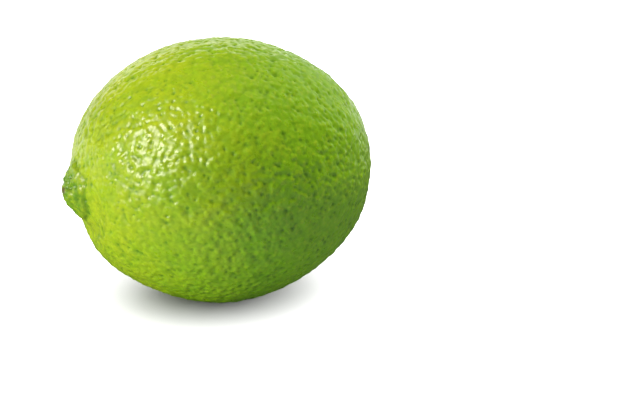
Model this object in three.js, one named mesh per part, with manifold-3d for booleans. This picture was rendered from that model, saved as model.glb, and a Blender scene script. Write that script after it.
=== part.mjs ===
// A whole lime as picked, lying on its side on the small flat spot that its weight settles on.
//
// Millimetres, +Z up. +X runs along the fruit, from the blossom end's nipple to the stem end.
// The origin is on the resting surface, under the middle of the fruit's overall length.
// The fruit grew as one piece, so it is one solid: a body of revolution, shaped by formula,
// with a nipple set a little low, a sunken stem end with the scar of the stalk, and slightly uneven sides.
import * as THREE from "three";
import { mergeVertices } from "three/addons/utils/BufferGeometryUtils.js";
import Module from "manifold-3d";

// Body
const RADIUS = 27.4; // at the fullest part
const HALF_LENGTH = 31.6; // from the fullest part to either pole of the plain body
const BLOSSOM_FULLNESS = 0.03; // the blossom half is fuller than the stem half by this share
const FLAT_SPOT_DEPTH = 0.5; // how far the resting surface cuts into the round belly

// Blossom end: a low nipple in a wide, shallow collar
const NIPPLE_HEIGHT = 2.35;
const NIPPLE_WIDTH = 5.5; // from its axis to where it has fallen to 37% of its height
const NIPPLE_ROUNDNESS = 1.85; // 1 is a sharp cone, 2 a round bell
const NIPPLE_DROP = 0.9; // how far below the fruit's axis it sits
const COLLAR_DEPTH = 1.15;
const COLLAR_RADIUS = 7.7;
const COLLAR_WIDTH = 3.1;
const COLLAR_SLANT = 0.7; // the collar is deeper by this share below the nipple, and shallower above it

// Under the nipple the blossom end is slimmer
const SLIM_DEPTH = 0.85;
const SLIM_ANGLE = 0.93; // radians round from the nipple's pole, towards the underside
const SLIM_SPREAD = 0.4; // radians, from its middle to where it has faded to 37%

// Stem end: a shallow basin with the button that the stalk broke off from
const BASIN_DEPTH = 1.5;
const BASIN_RADIUS = 6.2;
const BUTTON_HEIGHT = 0.9;
const BUTTON_RADIUS = 2.9;
const BUTTON_EDGE = 4; // how squarely the button's edge falls away

// Uneven growth
const OVALITY = 0.006; // the cross-section is this much wider than round, and as much lower
const SEGMENTS_INSIDE = 10; // the fruit's segments show as faint ribs near the stem end
const RIB_HEIGHT = 0.28;

// Mesh
const SIDES = 60;
const STATIONS = 46;
const END_REFINEMENT = 0.5; // 0 spaces the stations evenly, 1 crowds them into the poles

const bell = (distance, width, power) => Math.exp(-((distance / width) ** power));

// The plain body's outline, from the blossom pole to the stem pole, along the lathe's Y axis.
function bodyOutline() {
  const outline = [];
  for (let i = 0; i <= STATIONS; i++) {
    const share = i / STATIONS;
    const angle = Math.PI * share - (END_REFINEMENT / 2) * Math.sin(2 * Math.PI * share);
    const fullness = 1 + BLOSSOM_FULLNESS * Math.cos(angle);
    const radius = i === 0 || i === STATIONS ? 0 : RADIUS * Math.sin(angle) * fullness;
    outline.push(new THREE.Vector2(radius, -HALF_LENGTH * Math.cos(angle)));
  }
  return outline;
}

// How far the blossom end's surface stands out along -X, at a place across the fruit.
function blossomRelief(y, z) {
  const distance = Math.hypot(y, z + NIPPLE_DROP);
  const height = distance > 0 ? (z + NIPPLE_DROP) / distance : 0; // 1 above the nipple, -1 below it
  const nipple = NIPPLE_HEIGHT * bell(distance, NIPPLE_WIDTH, NIPPLE_ROUNDNESS);
  const collar = COLLAR_DEPTH * bell(Math.abs(distance - COLLAR_RADIUS), COLLAR_WIDTH, 2);
  return nipple - collar * (1 - COLLAR_SLANT * height);
}

// How far the stem end's surface stands out along +X, at a distance from the fruit's axis.
function stemRelief(distance) {
  const button = BUTTON_HEIGHT * bell(distance, BUTTON_RADIUS, BUTTON_EDGE);
  return button - BASIN_DEPTH * bell(distance, BASIN_RADIUS, 2);
}

// How much slimmer the fruit is at a place on the plain body, which lies at that angle around the X axis.
function slimming(x, around) {
  const along = THREE.MathUtils.clamp(x / HALF_LENGTH, -1, 1);
  const across = Math.sqrt(1 - along ** 2);
  const direction = new THREE.Vector3(along, across * Math.cos(around), across * Math.sin(around));
  const slimmest = new THREE.Vector3(-Math.cos(SLIM_ANGLE), 0, -Math.sin(SLIM_ANGLE));
  return SLIM_DEPTH * bell(direction.distanceTo(slimmest), SLIM_SPREAD, 2);
}

// Shapes the plain body, which lies along X, into the fruit.
function shapeFruit(geometry) {
  const position = geometry.getAttribute("position");
  const point = new THREE.Vector3();
  for (let i = 0; i < position.count; i++) {
    point.fromBufferAttribute(position, i);
    const { x, y, z } = point;
    const distance = Math.hypot(y, z);
    const stemShare = THREE.MathUtils.smoothstep(x, 0, HALF_LENGTH);
    const around = Math.atan2(z, y);
    const rib = RIB_HEIGHT * stemShare * (distance / RADIUS) * Math.cos(SEGMENTS_INSIDE * around);
    const growth = distance > 0 ? 1 + rib / distance : 1;
    point.x += x < 0 ? -blossomRelief(y, z) : stemRelief(distance);
    point.y *= growth * (1 + OVALITY);
    point.z *= growth * (1 - OVALITY);
    const outward = new THREE.Vector3(x / HALF_LENGTH ** 2, y / RADIUS ** 2, z / RADIUS ** 2).normalize();
    point.addScaledVector(outward, -slimming(x, around));
    position.setXYZ(i, point.x, point.y, point.z);
  }
}

// A closed geometry as a manifold-3d solid.
function toSolid(wasm, geometry) {
  geometry.deleteAttribute("normal");
  geometry.deleteAttribute("uv");
  const merged = mergeVertices(geometry);
  return new wasm.Manifold(
    new wasm.Mesh({
      numProp: 3,
      vertProperties: merged.getAttribute("position").array,
      triVerts: new Uint32Array(merged.index.array),
    }),
  );
}

function toGeometry(solid) {
  const mesh = solid.getMesh();
  const geometry = new THREE.BufferGeometry();
  geometry.setAttribute("position", new THREE.BufferAttribute(mesh.vertProperties, 3));
  geometry.setIndex(new THREE.BufferAttribute(mesh.triVerts, 1));
  return geometry;
}

// The whole fruit with its flat spot on z = 0 and the middle of its length at x = 0.
function limeGeometry(wasm) {
  const body = new THREE.LatheGeometry(bodyOutline(), SIDES);
  body.rotateZ(-Math.PI / 2);
  shapeFruit(body);
  body.computeBoundingBox();
  const { min, max } = body.boundingBox;
  body.translate(-(min.x + max.x) / 2, -(min.y + max.y) / 2, -min.z - FLAT_SPOT_DEPTH);
  const below = new THREE.BoxGeometry(4 * HALF_LENGTH, 4 * RADIUS, RADIUS);
  below.translate(0, 0, -RADIUS / 2);
  return toGeometry(toSolid(wasm, body).subtract(toSolid(wasm, below)));
}

const wasm = await Module();
wasm.setup();

const peel = new THREE.MeshStandardMaterial({ color: 0x93bb22, roughness: 0.38, metalness: 0 });

const lime = new THREE.Mesh(limeGeometry(wasm), peel);
lime.name = "lime";
lime.geometry.computeVertexNormals();

const fruit = new THREE.Group();
fruit.add(lime);

export default fruit;
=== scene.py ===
"""A whole lime on a white studio floor.

The fruit is one skin, with its oil glands, nipple, creases and scars as real geometry.
"""
import math

import bpy
import numpy as np
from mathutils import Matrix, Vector, kdtree, noise


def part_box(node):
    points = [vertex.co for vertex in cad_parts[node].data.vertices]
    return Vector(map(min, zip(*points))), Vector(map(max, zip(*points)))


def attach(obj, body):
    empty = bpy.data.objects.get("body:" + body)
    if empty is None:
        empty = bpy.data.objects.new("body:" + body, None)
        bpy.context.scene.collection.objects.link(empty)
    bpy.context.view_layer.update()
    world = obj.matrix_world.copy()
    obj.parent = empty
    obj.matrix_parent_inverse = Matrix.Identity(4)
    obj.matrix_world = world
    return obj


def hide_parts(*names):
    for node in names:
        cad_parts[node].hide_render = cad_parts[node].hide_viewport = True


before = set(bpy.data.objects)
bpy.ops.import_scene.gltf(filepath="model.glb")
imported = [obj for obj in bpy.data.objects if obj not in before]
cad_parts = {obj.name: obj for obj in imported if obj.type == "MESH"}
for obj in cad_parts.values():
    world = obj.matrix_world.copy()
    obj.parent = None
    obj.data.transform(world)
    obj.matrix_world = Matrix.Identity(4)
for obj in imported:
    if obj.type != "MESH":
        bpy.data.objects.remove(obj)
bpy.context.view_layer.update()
lime_low, lime_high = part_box("lime")

MM = 0.001

# ---- Shape, in millimetres, as the CAD solid has it
RADIUS = 27.4  # at the fullest part
HALF_LENGTH = 31.6  # from the fullest part to either pole of the plain body
BLOSSOM_FULLNESS = 0.03  # the blossom half is fuller than the stem half by this share
NIPPLE_HEIGHT, NIPPLE_WIDTH, NIPPLE_ROUNDNESS, NIPPLE_DROP = 2.35, 5.5, 1.85, 0.9
COLLAR_DEPTH, COLLAR_RADIUS, COLLAR_WIDTH, COLLAR_SLANT = 1.15, 7.7, 3.1, 0.7
SLIM_DEPTH, SLIM_ANGLE, SLIM_SPREAD = 0.85, 0.93, 0.40  # the slimmer place under the nipple
BASIN_DEPTH, BASIN_RADIUS = 1.5, 6.2
BUTTON_HEIGHT, BUTTON_RADIUS, BUTTON_EDGE = 0.9, 2.9, 4
OVALITY = 0.006  # the cross-section is this much wider than round, and as much lower
SEGMENTS_INSIDE, RIB_HEIGHT = 10, 0.28
FLAT_SPOT_SOFTNESS = 0.25  # the skin rounds into the flat spot from this height to as far below

# ---- Skin grid
GRID = 128  # quads along each edge of the six patches that make the skin
END_REFINEMENT = 0.42  # how much closer the skin's points stand at the nipple
END_REACH = 0.42  # over this angle from the blossom pole, in radians
PATCH_INSET = 0.006  # margin round each patch in the UV map, as a share of the patch
ENDS_FROM = 20  # millimetres from the middle to where the marks of either end may start

# ---- Waves of the skin, each with its height and the size of its features, in millimetres
GROWTH_HEIGHT, GROWTH_SIZE = 0.20, 14.0
SWELL_HEIGHT, SWELL_SIZE = 0.055, 4.2
PEBBLE_HEIGHT, PEBBLE_SIZE = 0.100, 1.15
GRAIN_HEIGHT, GRAIN_SIZE = 0.016, 0.6

# ---- Oil glands, in millimetres
GLANDS = 8000
GLAND_SEED = 11
GLAND_ROUNDS = 9  # of pushing crowded glands apart
GLAND_REACH = 1.25  # how far a gland pushes, over the side of the square that is its share of skin
GLAND_PUSH = 0.28  # share of the push that a gland gives way to in a round
GLAND_NEIGHBOURS = 6
GLAND_WIDTHS = (0.28, 0.45)
GLAND_SHALLOWEST, GLAND_DEPTH_SPREAD = 0.03, 0.45
GLAND_DEPTH_SHAPE = (1.2, 2.7)  # most glands are shallow, a few are deep
GLANDS_NEARBY = 5  # how many reach a point of the skin
HOLLOW_WIDTH, HOLLOW_SHARE = 1.7, 0.6  # a dimple's wide hollow, over the gland's width and depth
PIT_SHARE = 0.5  # the pit in the middle of it has the gland's own width
MARK_WIDTH = 1.2  # the gland's dark mark, partly its own darker tone and partly painted shade in its pit, over its width
FULL_MARK_DEPTH = 0.34  # a gland this deep has the full dark mark, painted shade that deepens with the pit

# ---- Blossom end and stem end, in millimetres
CREASE_RADIUS, CREASE_LIFT, CREASE_WIDTH, CREASE_DEPTH = 5.9, 0.7, 0.42, 0.40
CREASE_SIDE = math.radians(180)  # where round the nipple the crease is deepest
WANDER_HEIGHT, WANDER_SIZE = 0.45, 3.2  # creases and rays stray by this much from regular shapes
KNOB_RADIUS, KNOB_SIZE, KNOB_HEIGHT = 5.0, 1.4, 0.17
WRINKLE_RADIUS, WRINKLE_REACH = 3.6, 2.4
COARSE_WRINKLES, COARSE_WRINKLE_HEIGHT = 9, 0.07
FINE_WRINKLES, FINE_WRINKLE_HEIGHT = 14, 0.05
SCAR_LIFT, SCAR_RADIUS, SCAR_DEPTH = 0.7, 0.85, 0.16
SCAR_RIM_RADIUS, SCAR_RIM_WIDTH, SCAR_RIM_HEIGHT = 1.0, 0.28, 0.06
FURROW_RADIUS, FURROW_REACH, FURROW_DEPTH = 5.0, 2.6, 0.32
LOBES, LOBE_SHARE = 5, 0.17
LOBED_RADIUS, MOAT_RADIUS, MOAT_WIDTH, MOAT_DEPTH = 2.85, 3.35, 0.38, 0.22
STALK_RADIUS, STALK_DEPTH = 1.2, 0.40
STALK_RIM_RADIUS, STALK_RIM_WIDTH, STALK_RIM_HEIGHT = 1.45, 0.26, 0.16
BUTTON_RAY_HEIGHT, BARK_HEIGHT, BARK_SIZE = 0.10, 0.14, 0.9
BLOSSOM_TINT_RADIUS, STEM_TINT_RADIUS = 6.5, 9.0


def bell(distance, width, power):
    return np.exp(-((distance / width) ** power))


def smoothstep(value, low, high):
    share = np.clip((value - low) / (high - low), 0, 1)
    return share * share * (3 - 2 * share)


def surface(direction):
    """The fruit's smooth surface for unit directions from its middle. -X is the blossom end."""
    angle = np.arccos(np.clip(-direction[:, 0], -1, 1))
    around = np.arctan2(direction[:, 2], direction[:, 1])
    radius = RADIUS * np.sin(angle) * (1 + BLOSSOM_FULLNESS * np.cos(angle))
    x = -HALF_LENGTH * np.cos(angle)
    y, z = radius * np.cos(around), radius * np.sin(around)
    off_nipple = np.hypot(y, z + NIPPLE_DROP)
    above = (z + NIPPLE_DROP) / np.maximum(off_nipple, 1e-6)  # 1 above the nipple, -1 below it
    nipple = NIPPLE_HEIGHT * bell(off_nipple, NIPPLE_WIDTH, NIPPLE_ROUNDNESS)
    collar = COLLAR_DEPTH * bell(off_nipple - COLLAR_RADIUS, COLLAR_WIDTH, 2)
    blossom = nipple - collar * (1 - COLLAR_SLANT * above)
    basin = BASIN_DEPTH * bell(radius, BASIN_RADIUS, 2)
    stem = BUTTON_HEIGHT * bell(radius, BUTTON_RADIUS, BUTTON_EDGE) - basin
    rib_share = smoothstep(x, 0, HALF_LENGTH) * (radius / RADIUS)
    grown = radius + RIB_HEIGHT * rib_share * np.cos(SEGMENTS_INSIDE * around)
    return np.column_stack((
        np.where(x < 0, x - blossom, x + stem),
        grown * np.cos(around) * (1 + OVALITY),
        grown * np.sin(around) * (1 - OVALITY),
    ))


def cube_grid():
    """Points and outward quads of a cube's surface grid, and where each quad's corners are in the UV map."""
    steps = np.arange(GRID + 1)
    first, second = np.meshgrid(steps, steps, indexing="ij")
    number = np.arange((GRID + 1) ** 2).reshape(GRID + 1, GRID + 1)
    quad = np.stack((number[:-1, :-1], number[1:, :-1], number[1:, 1:], number[:-1, 1:]), -1)
    quad = quad.reshape(-1, 4)
    corners, faces, places = [], [], []
    for patch in range(6):
        axis, side = divmod(patch, 2)
        point = np.zeros((GRID + 1, GRID + 1, 3), int)
        point[..., axis] = side * GRID
        point[..., (axis + 1) % 3] = first
        point[..., (axis + 2) % 3] = second
        corners.append(point.reshape(-1, 3))
        faces.append(patch * number.size + (quad if side else quad[:, ::-1]))
        across = (patch % 3 + PATCH_INSET + (1 - 2 * PATCH_INSET) * first / GRID) / 3
        up = (patch // 3 + PATCH_INSET + (1 - 2 * PATCH_INSET) * second / GRID) / 2
        places.append(np.stack((across, up), -1).reshape(-1, 2))
    corners, faces, places = np.concatenate(corners), np.concatenate(faces), np.concatenate(places)
    unique, back = np.unique(corners, axis=0, return_inverse=True)
    return unique, back.reshape(-1)[faces], places[faces]


def skin_directions(cube):
    """Unit directions for the cube grid's points, evenly spread and drawn closer together at the nipple."""
    flat = np.tan((2 * cube / GRID - 1) * math.pi / 4)
    unit = flat / np.linalg.norm(flat, axis=1, keepdims=True)
    angle = np.arccos(np.clip(-unit[:, 0], -1, 1))
    drawn = angle * (1 - END_REFINEMENT * np.exp(-((angle / END_REACH) ** 2)))
    ring = np.maximum(np.hypot(unit[:, 1], unit[:, 2]), 1e-9)
    return np.column_stack((
        -np.cos(drawn),
        unit[:, 1] / ring * np.sin(drawn),
        unit[:, 2] / ring * np.sin(drawn),
    ))


def tree_of(points):
    tree = kdtree.KDTree(len(points))
    for i, p in enumerate(points):
        tree.insert(p, i)
    tree.balance()
    return tree


def nearest(tree, points, count):
    """Indices and distances of the count nearest tree points to each point."""
    found = [[(i, d) for _, i, d in tree.find_n(p, count)] for p in points]
    table = np.array(found)
    return table[..., 0].astype(int), table[..., 1]


def gland_directions(random):
    """Directions of the oil glands, pushed apart until they are spaced as on real peel.

    That is unevenly, but never crowded.
    """
    sites = random.normal(size=(GLANDS, 3))
    sites /= np.linalg.norm(sites, axis=1, keepdims=True)
    reach = GLAND_REACH * math.sqrt(4 * math.pi / GLANDS)
    for _ in range(GLAND_ROUNDS):
        others, gaps = nearest(tree_of(sites), sites, 1 + GLAND_NEIGHBOURS)
        away = sites[:, None, :] - sites[others]
        push = np.clip(1 - gaps / reach, 0, 1) / np.maximum(gaps, 1e-9)
        push[:, 0] = 0  # the nearest site is the gland's own
        sites = sites + GLAND_PUSH * reach * (away * push[..., None]).sum(1)
        sites /= np.linalg.norm(sites, axis=1, keepdims=True)
    return sites


def perlin(points, size, seed):
    """Smooth noise of that feature size in millimetres, about -1 to 1."""
    shift = Vector((seed * 17.3, seed * 5.9, seed * 11.1))
    return np.array([noise.noise(Vector(p) / size + shift) for p in points]) * 1.6


cube, quads, places = cube_grid()
directions = skin_directions(cube)
smooth = surface(directions)

mesh = bpy.data.meshes.new("lime_skin")
mesh.from_pydata(smooth, [], quads.tolist())
normals = np.zeros(len(smooth) * 3, np.float32)
mesh.vertices.foreach_get("normal", normals)
normals = normals.reshape(-1, 3).astype(float)

# Where each point is on the blossom end and the stem end
blossom_y, blossom_z = smooth[:, 1], smooth[:, 2] + NIPPLE_DROP
from_nipple = np.hypot(blossom_y, blossom_z)
nipple_turn = np.arctan2(blossom_z, blossom_y)
at_blossom = smooth[:, 0] < -ENDS_FROM
from_stem = np.hypot(smooth[:, 1], smooth[:, 2])
stem_turn = np.arctan2(smooth[:, 2], smooth[:, 1])
at_stem = smooth[:, 0] > ENDS_FROM

# Lumps: broad uneven growth, slimmer under the nipple, then the gentle waves between groups of glands
growth = GROWTH_HEIGHT * perlin(smooth, GROWTH_SIZE, 1)
slimmest = (-math.cos(SLIM_ANGLE), 0, -math.sin(SLIM_ANGLE))
slimming = SLIM_DEPTH * bell(np.linalg.norm(directions - slimmest, axis=1), SLIM_SPREAD, 2)
swell = SWELL_HEIGHT * perlin(smooth, SWELL_SIZE, 2)
pebble = PEBBLE_HEIGHT * perlin(smooth, PEBBLE_SIZE, 3)
grain = GRAIN_HEIGHT * perlin(smooth, GRAIN_SIZE, 4)

# Oil glands: a small dimple over each, of its own width and depth
random = np.random.default_rng(GLAND_SEED)
glands = surface(gland_directions(random))
gland_width = random.uniform(*GLAND_WIDTHS, GLANDS)
gland_depth = GLAND_SHALLOWEST + GLAND_DEPTH_SPREAD * random.beta(*GLAND_DEPTH_SHAPE, GLANDS)
gland, off_gland = nearest(tree_of(glands), smooth, GLANDS_NEARBY)
hollow = bell(off_gland, HOLLOW_WIDTH * gland_width[gland], 2)
pit = bell(off_gland, gland_width[gland], 2)
dimples = (gland_depth[gland] * (HOLLOW_SHARE * hollow + PIT_SHARE * pit)).sum(1)
# The dark mark over each gland: partly the gland's own darker tone, partly painted shade that grows with the
# depth of its pit
mark = bell(off_gland, MARK_WIDTH * gland_width[gland], 2)
gland_tone_and_pit_shade = np.clip((mark * (gland_depth[gland] / FULL_MARK_DEPTH)).sum(1), 0, 1)

# Blossom end: a crease beside the nipple, knobs and fine radial wrinkles on it, and the style's scar
wander = WANDER_HEIGHT * perlin(smooth, WANDER_SIZE, 5)
crease_share = (0.5 + 0.5 * np.cos(nipple_turn - CREASE_SIDE)) ** 0.8
crease_radius = CREASE_RADIUS + CREASE_LIFT * np.sin(nipple_turn).clip(0)
crease = at_blossom * bell(from_nipple - crease_radius + wander, CREASE_WIDTH, 2) * crease_share
knobs = at_blossom * bell(from_nipple, KNOB_RADIUS, 6) * perlin(smooth, KNOB_SIZE, 7)
coarse = COARSE_WRINKLE_HEIGHT * np.cos(COARSE_WRINKLES * nipple_turn + 3 * wander)
fine = FINE_WRINKLE_HEIGHT * np.cos(FINE_WRINKLES * nipple_turn - 4 * wander)
wrinkles = at_blossom * bell(from_nipple - WRINKLE_RADIUS, WRINKLE_REACH, 2) * (coarse + fine)
from_scar = np.hypot(blossom_y, blossom_z - SCAR_LIFT)
scar = at_blossom * bell(from_scar, SCAR_RADIUS, 4)
scar_rim = at_blossom * bell(from_scar - SCAR_RIM_RADIUS, SCAR_RIM_WIDTH, 2)

# Stem end: furrows that run into the basin, the lobed button and the rough face left by the stalk
furrow_share = (0.5 + 0.5 * np.cos(SEGMENTS_INSIDE * stem_turn + 1.2 * wander)) ** 2
furrow = at_stem * bell(from_stem - FURROW_RADIUS, FURROW_REACH, 2) * furrow_share
lobed = from_stem / (1 + LOBE_SHARE * np.cos(LOBES * stem_turn + 1.5 * wander))
button = at_stem * bell(lobed, LOBED_RADIUS, 8)
moat = at_stem * bell(lobed - MOAT_RADIUS, MOAT_WIDTH, 2)
stalk = at_stem * bell(from_stem, STALK_RADIUS, 6)
stalk_rim = at_stem * bell(from_stem - STALK_RIM_RADIUS, STALK_RIM_WIDTH, 2)
button_rays = button * np.cos(LOBES * stem_turn + 2 * wander)

# The share of waves and dimples that shows: more on the nipple, less on the scar and the button
on_nipple = at_blossom * bell(from_nipple, 5.4, 4)
on_scar = at_blossom * bell(from_scar, 1.3, 4)
texture_share = 1 + 0.8 * on_nipple - 1.2 * on_scar - 0.85 * button
relief = (
    growth
    - slimming
    + (swell + pebble + grain - dimples) * texture_share
    - CREASE_DEPTH * crease
    + KNOB_HEIGHT * knobs
    + wrinkles
    - SCAR_DEPTH * scar
    + SCAR_RIM_HEIGHT * scar_rim
    - FURROW_DEPTH * furrow
    - MOAT_DEPTH * moat
    + STALK_RIM_HEIGHT * stalk_rim
    + BUTTON_RAY_HEIGHT * button_rays
    + BARK_HEIGHT * button * perlin(smooth, BARK_SIZE, 6)
    - STALK_DEPTH * stalk
)
shaped = smooth + normals * relief[:, None]

# Into the frame: the fruit's middle, from the CAD box, and the soft flat spot it rests on
plain_low, plain_high = smooth.min(0), smooth.max(0)
middle_x = (lime_low.x + lime_high.x) / 2 / MM - (plain_low[0] + plain_high[0]) / 2
middle_z = lime_high.z / MM - plain_high[2]
shaped += np.array((middle_x, 0, middle_z))
height = shaped[:, 2]
k = FLAT_SPOT_SOFTNESS
rounded = (height + k) ** 2 / (4 * k)
shaped[:, 2] = np.where(height < -k, 0, np.where(height > k, height, rounded))

mesh.vertices.foreach_set("co", (shaped * MM).astype(np.float32).ravel())
mesh.polygons.foreach_set("use_smooth", np.ones(len(quads), bool))
uv_map = mesh.uv_layers.new(name="OFBake")
uv_map.uv.foreach_set("vector", places.astype(np.float32).ravel())
marks = {
    # gland: the glands' own darker tone with painted shade in their pits
    "gland": gland_tone_and_pit_shade * texture_share,
    # crease: painted shade in the creases, the furrows and the moat round the button
    "crease": np.clip(crease + 0.6 * furrow + 0.8 * moat, 0, 1),
    "scar": np.clip(scar, 0, 1),
    "button": np.clip(button, 0, 1),
    "stalk": np.clip(stalk, 0, 1),
    "blossom_end": at_blossom * bell(from_nipple, BLOSSOM_TINT_RADIUS, 2),
    "stem_end": at_stem * bell(from_stem, STEM_TINT_RADIUS, 2),
}
for name, values in marks.items():
    attribute = mesh.attributes.new(name, "FLOAT", "POINT")
    attribute.data.foreach_set("value", values.astype(np.float32))
mesh.update()

skin = bpy.data.objects.new("lime_skin", mesh)
bpy.context.scene.collection.objects.link(skin)


# ---- Materials
class Nodes:
    """A short way to write a node tree."""

    def __init__(self, tree):
        self.tree = tree
        tree.nodes.clear()

    def add(self, kind, inputs=None, **settings):
        node = self.tree.nodes.new(kind)
        for key, value in settings.items():
            setattr(node, key, value)
        for key, value in (inputs or {}).items():
            self.put(node.inputs[key], value)
        return node

    def put(self, socket, value):
        if isinstance(value, bpy.types.NodeSocket):
            self.tree.links.new(value, socket)
        elif isinstance(value, tuple) and socket.type == "RGBA":
            socket.default_value = (*value, 1)
        else:
            socket.default_value = value

    def attribute(self, name):
        return self.add("ShaderNodeAttribute", attribute_name=name).outputs["Fac"]

    def coordinates(self, kind):
        return self.add("ShaderNodeTexCoord").outputs[kind]

    def parts(self, vector):
        return self.add("ShaderNodeSeparateXYZ", {"Vector": vector}).outputs

    def noise(self, place, size_mm, detail=2.0, roughness=0.5):
        node = self.add(
            "ShaderNodeTexNoise",
            {"Vector": place, "Scale": 1 / (size_mm * MM), "Detail": detail, "Roughness": roughness},
        )
        return node.outputs["Fac"]

    def cells(self, place, size_mm, **inputs):
        """Distance from the middle of the nearest cell, smooth from cell to cell."""
        node = self.add(
            "ShaderNodeTexVoronoi",
            {"Vector": place, "Scale": 1 / (size_mm * MM), "Randomness": 1.0, **inputs},
            feature="SMOOTH_F1",
        )
        return node.outputs["Distance"]

    def span(self, value, low, high, to_low=0.0, to_high=1.0):
        node = self.add(
            "ShaderNodeMapRange",
            {"Value": value, "From Min": low, "From Max": high, "To Min": to_low, "To Max": to_high},
            interpolation_type="SMOOTHSTEP",
        )
        return node.outputs["Result"]

    def math(self, operation, a, b):
        node = self.add("ShaderNodeMath", operation=operation)
        self.put(node.inputs[0], a)
        self.put(node.inputs[1], b)
        return node.outputs[0]

    def mix(self, share, a, b):
        node = self.add("ShaderNodeMix", data_type="RGBA")
        self.put(node.inputs[0], share)
        self.put(node.inputs[6], a)
        self.put(node.inputs[7], b)
        return node.outputs[2]


YELLOW_GREEN = (0.345, 0.450, 0.005)
GREEN = (0.163, 0.385, 0.004)
# Deep green is also the painted shade in the valleys between the domes, in the gland pits and in the creases
DEEP_GREEN = (0.062, 0.195, 0.004)
# Pale green is also the painted highlight on the dome tops
PALE_GREEN = (0.44, 0.56, 0.03)
NIPPLE_GREEN = (0.090, 0.240, 0.006)
BARK_DARK, BARK_LIGHT = (0.045, 0.034, 0.008), (0.135, 0.110, 0.030)
BUTTON_DARK, BUTTON_LIGHT = (0.13, 0.15, 0.035), (0.30, 0.30, 0.10)


def peel_colour(n, place, domes):
    """Yellow-green towards the blossom end and the top into deeper green towards the stem end and below,
    partly the peel's own tone and partly painted light; mottled at the scale of gland groups and of single
    glands.
    """
    axes = n.parts(place)
    # Painted light, in part: the colour drifts yellower towards the lit blossom end and the top, and greener
    # towards the shaded stem end and the underside, over the peel's own tone
    along = n.math("SUBTRACT", axes["X"], n.math("MULTIPLY", axes["Z"], 0.25))
    tone_and_painted_light = n.math("ADD", along, n.math("MULTIPLY", n.noise(place, 14, 3), 0.030))
    colour = n.mix(n.span(tone_and_painted_light, -0.026, 0.018), YELLOW_GREEN, GREEN)
    mottle = n.span(n.noise(place, 3.4, 3, 0.6), 0.42, 0.72)
    colour = n.mix(n.math("MULTIPLY", mottle, 0.30), colour, GREEN)

    # Pale flecks, and pale dome tops that are partly the glands' translucent oil and partly painted
    # highlight; then painted shade in the valleys between the domes
    fleck = n.span(n.noise(place, 0.9, 2, 0.55), 0.50, 0.72)
    oil_highlight_patches = n.span(n.noise(place, 1.8, 2), 0.35, 0.65, 0.2, 1.0)
    # Painted highlight, in part: the tops of the domes are lightened towards pale green, as well as the
    # glands' own paler oil
    oil_and_painted_highlight = n.math("MULTIPLY", n.span(domes, 0.15, 0.50, 0.14, 0.0), oil_highlight_patches)
    colour = n.mix(n.math("MAXIMUM", n.math("MULTIPLY", fleck, 0.25), oil_and_painted_highlight), colour, PALE_GREEN)
    # Painted shade: the valleys between the domes are darkened towards deep green
    colour = n.mix(n.span(domes, 0.45, 0.75, 0.0, 0.22), colour, DEEP_GREEN)
    # Painted shade, in part: the gland marks darken the pits towards deep green, over the glands' own darker
    # tone
    uneven = n.span(n.noise(place, 0.6, 2), 0.3, 0.7, 0.35, 1.0)
    pit_tone_and_shade = n.math("MULTIPLY", n.span(n.attribute("gland"), 0.1, 1.0), n.math("MULTIPLY", uneven, 0.85))
    colour = n.mix(pit_tone_and_shade, colour, DEEP_GREEN)

    # The nipple is darker, creases, furrows and the moat round the button get painted shade, and the stem end
    # is paler
    nipple_tone = n.math("ADD", n.attribute("blossom_end"), n.math("MULTIPLY", n.noise(place, 1.6, 3), 0.4))
    nipple_patches = n.span(n.noise(place, 1.1, 3), 0.35, 0.65, 0.40, 1.0)
    nipple_share = n.math("MULTIPLY", n.span(nipple_tone, 0.50, 0.84, 0.0, 0.88), nipple_patches)
    colour = n.mix(nipple_share, colour, NIPPLE_GREEN)
    # Painted shade in the creases, the furrows and the moat round the button
    colour = n.mix(n.math("MULTIPLY", n.attribute("crease"), 0.60), colour, DEEP_GREEN)
    colour = n.mix(n.math("MULTIPLY", n.attribute("stem_end"), 0.30), colour, PALE_GREEN)

    # Scars are corky
    bark = n.mix(n.span(n.noise(place, 0.5, 3), 0.35, 0.7), BARK_DARK, BARK_LIGHT)
    colour = n.mix(n.attribute("scar"), colour, bark)
    button_tone = n.mix(n.span(n.noise(place, 0.7, 3), 0.35, 0.65), BUTTON_DARK, BUTTON_LIGHT)
    colour = n.mix(n.attribute("button"), colour, button_tone)
    return n.mix(n.attribute("stalk"), colour, bark)


def peel_roughness(n, place):
    """Wax lies smooth between the glands and thin over scars."""
    dry = n.math("MAXIMUM", n.attribute("scar"), n.attribute("button"))
    wax = n.span(n.noise(place, 2.2, 3), 0.3, 0.7, 0.26, 0.36)
    rough = n.math("ADD", wax, n.math("MULTIPLY", n.attribute("gland"), 0.08))
    return n.math("MAXIMUM", rough, n.math("MULTIPLY", dry, 0.75))


def peel_bump(n, place, domes):
    """Relief smaller than the mesh: the low dome over each gland, pores and skin cells."""
    pores = n.math("MULTIPLY", n.cells(place, 0.42), 0.10)
    skin_cells = n.math("MULTIPLY", n.noise(place, 0.22, 2, 0.6), 0.05)
    fine = n.math("ADD", n.math("ADD", pores, skin_cells), n.span(domes, 0.05, 0.7, 1.0, 0.0))
    bump = n.add("ShaderNodeBump", {"Height": fine, "Strength": 1.0, "Distance": 0.115 * MM})
    return bump.outputs["Normal"]


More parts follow.
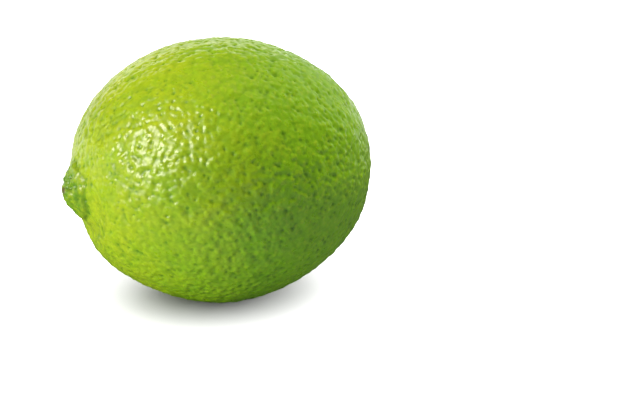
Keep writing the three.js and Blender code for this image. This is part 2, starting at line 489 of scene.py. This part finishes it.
def peel_material():
    material = bpy.data.materials.new("lime_peel")
    material.use_nodes = True
    n = Nodes(material.node_tree)
    place = n.coordinates("Object")
    domes = n.cells(place, 1.35, Smoothness=0.45)
    shader = n.add(
        "ShaderNodeBsdfPrincipled",
        {
            "Base Color": peel_colour(n, place, domes),
            "Roughness": peel_roughness(n, place),
            "Normal": peel_bump(n, place, domes),
            "IOR": 1.5,
            "Specular IOR Level": 0.55,
            "Specular Tint": (1.0, 0.88, 1.0),
            "Subsurface Weight": 0.08,
            "Subsurface Radius": (0.9, 1.0, 0.2),
            "Subsurface Scale": 0.35 * MM,
        },
    )
    n.add("ShaderNodeOutputMaterial", {"Surface": shader.outputs["BSDF"]})
    return material


def floor_material():
    """White to the camera, darker as a bounce, and lighter behind the fruit where its gloss mirrors it."""
    material = bpy.data.materials.new("floor_white")
    material.use_nodes = True
    n = Nodes(material.node_tree)
    bounced, seen, mirrored_near, mirrored_far = 0.165, 0.40, 0.015, 0.25
    near, far = 0.04, 0.2  # metres behind the fruit
    rays = n.add("ShaderNodeLightPath").outputs
    behind = n.parts(n.coordinates("Object"))["Y"]
    mirrored = n.math("SUBTRACT", n.span(behind, near, far, mirrored_near, mirrored_far), bounced)
    plain = n.span(rays["Is Camera Ray"], 0, 1, bounced, seen)
    tone = n.math("ADD", plain, n.math("MULTIPLY", rays["Is Glossy Ray"], mirrored))
    shader = n.add("ShaderNodeBsdfDiffuse", {"Color": tone})
    n.add("ShaderNodeOutputMaterial", {"Surface": shader.outputs["BSDF"]})
    return material


mesh.materials.append(peel_material())
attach(skin, "root")
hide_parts("lime")

# ---- Camera, in metres
AZIMUTH, ELEVATION = math.radians(-18), math.radians(20)
DISTANCE = 0.5
LENS_MM, SENSOR_MM = 136.5, 36
AIM_RIGHT, AIM_BELOW = 0.0201, 0.00757  # the fruit stands left of the frame's middle and above it
level = math.cos(ELEVATION)
back = Vector((math.sin(AZIMUTH) * level, -math.cos(AZIMUTH) * level, math.sin(ELEVATION)))
right = Vector((math.cos(AZIMUTH), math.sin(AZIMUTH), 0))
up = back.cross(right)
middle_point = Vector((middle_x, 0, middle_z)) * MM

camera_data = bpy.data.cameras.new("camera")
camera_data.lens = LENS_MM
camera_data.sensor_width = SENSOR_MM
camera_data.clip_start = 0.02
camera_data.clip_end = 50
camera = bpy.data.objects.new("camera", camera_data)
bpy.context.scene.collection.objects.link(camera)
camera.location = middle_point + back * DISTANCE
aim = middle_point + right * AIM_RIGHT - up * AIM_BELOW
camera.rotation_mode = "QUATERNION"
camera.rotation_quaternion = (aim - camera.location).to_track_quat("-Z", "Y")
bpy.context.scene.camera = camera

# ---- Floor, in metres
HALF_FLOOR = 15.0
floor_corners = [
    (-HALF_FLOOR, -HALF_FLOOR, 0),
    (HALF_FLOOR, -HALF_FLOOR, 0),
    (HALF_FLOOR, HALF_FLOOR, 0),
    (-HALF_FLOOR, HALF_FLOOR, 0),
]
floor_mesh = bpy.data.meshes.new("floor")
floor_mesh.from_pydata(floor_corners, [], [(0, 1, 2, 3)])
floor_mesh.materials.append(floor_material())
floor = bpy.data.objects.new("floor", floor_mesh)
bpy.context.scene.collection.objects.link(floor)


# ---- Light, in metres and watts
def collection_of(name, member):
    group = bpy.data.collections.new(name)
    group.objects.link(member)
    return group


fruit_only = collection_of("fruit_only", skin)
floor_only = collection_of("floor_only", floor)


def lamp(data, toward, distance, lights, shades=True, shines=True):
    """Puts a light at that direction and distance from the fruit, facing it, for one collection alone.

    It shades the matt part of the surface, shines in the gloss, or both.
    """
    light = bpy.data.objects.new(data.name, data)
    bpy.context.scene.collection.objects.link(light)
    direction = Vector(toward).normalized()
    light.location = middle_point + direction * distance
    light.rotation_mode = "QUATERNION"
    light.rotation_quaternion = direction.to_track_quat("Z", "Y")
    light.visible_camera = False
    light.visible_diffuse = shades
    light.visible_glossy = shines
    light.light_linking.receiver_collection = lights


def panel(name, width, height, power, colour, shape="RECTANGLE"):
    data = bpy.data.lights.new(name, "AREA")
    data.shape = shape
    data.size, data.size_y = width, height
    data.energy = power
    data.color = colour
    return data


def shade(data, toward, distance):
    lamp(data, toward, distance, fruit_only, shines=False)


def shine(data, toward, distance):
    lamp(data, toward, distance, fruit_only, shades=False)


shade(panel("key_left", 0.40, 0.40, 10.7, (1, 0.97, 0.80)), (-0.969, -0.206, 0.139), 0.9)
shade(panel("key_top", 0.40, 0.40, 12.8, (1, 0.78, 0.48)), (0.480, 0.110, 0.868), 0.9)
shine(panel("glint", 0.40, 0.54, 10.3, (1, 0.99, 0.86), "ELLIPSE"), (-0.797, -0.270, 0.540), 0.9)
shine(panel("glint_left", 0.16, 0.30, 0.5, (1, 1, 0.65)), (-0.80, 0.45, 0.25), 0.9)
shine(panel("rim_right", 0.7, 0.6, 0.9, (1, 1, 1)), (0.779, 0.457, 0.393), 1.0)
shine(panel("backdrop", 1.0, 0.4, 2.5, (1, 1, 0.85)), (0.14, 0.95, 0.22), 1.2)

# A broad light on the floor alone keeps it white right up to the fruit
floor_light = bpy.data.lights.new("floor_light", "SUN")
floor_light.energy = 20.0
floor_light.angle = math.radians(150)
lamp(floor_light, (0.24, -0.16, 1), 1.0, floor_only)


def studio_world():
    """White to the camera, and a dim sky that is brightest overhead to everything else."""
    world = bpy.data.worlds.new("studio")
    world.use_nodes = True
    n = Nodes(world.node_tree)
    white = (1, 1, 1)
    seen = n.add("ShaderNodeBackground", {"Color": white, "Strength": 1.05})
    rays = n.add("ShaderNodeLightPath").outputs
    overhead = n.math("MAXIMUM", n.parts(n.coordinates("Generated"))["Z"], 0.0)
    dimmed = n.span(rays["Is Glossy Ray"], 0, 1, 0.25, 0.22)
    sky = n.add("ShaderNodeBackground", {"Color": white, "Strength": n.math("MULTIPLY", overhead, dimmed)})
    mixed = n.add("ShaderNodeMixShader")
    n.put(mixed.inputs[0], rays["Is Camera Ray"])
    n.put(mixed.inputs[1], sky.outputs["Background"])
    n.put(mixed.inputs[2], seen.outputs["Background"])
    n.add("ShaderNodeOutputWorld", {"Surface": mixed.outputs["Shader"]})
    return world


bpy.context.scene.world = studio_world()
bpy.context.scene.view_settings.view_transform = "Standard"
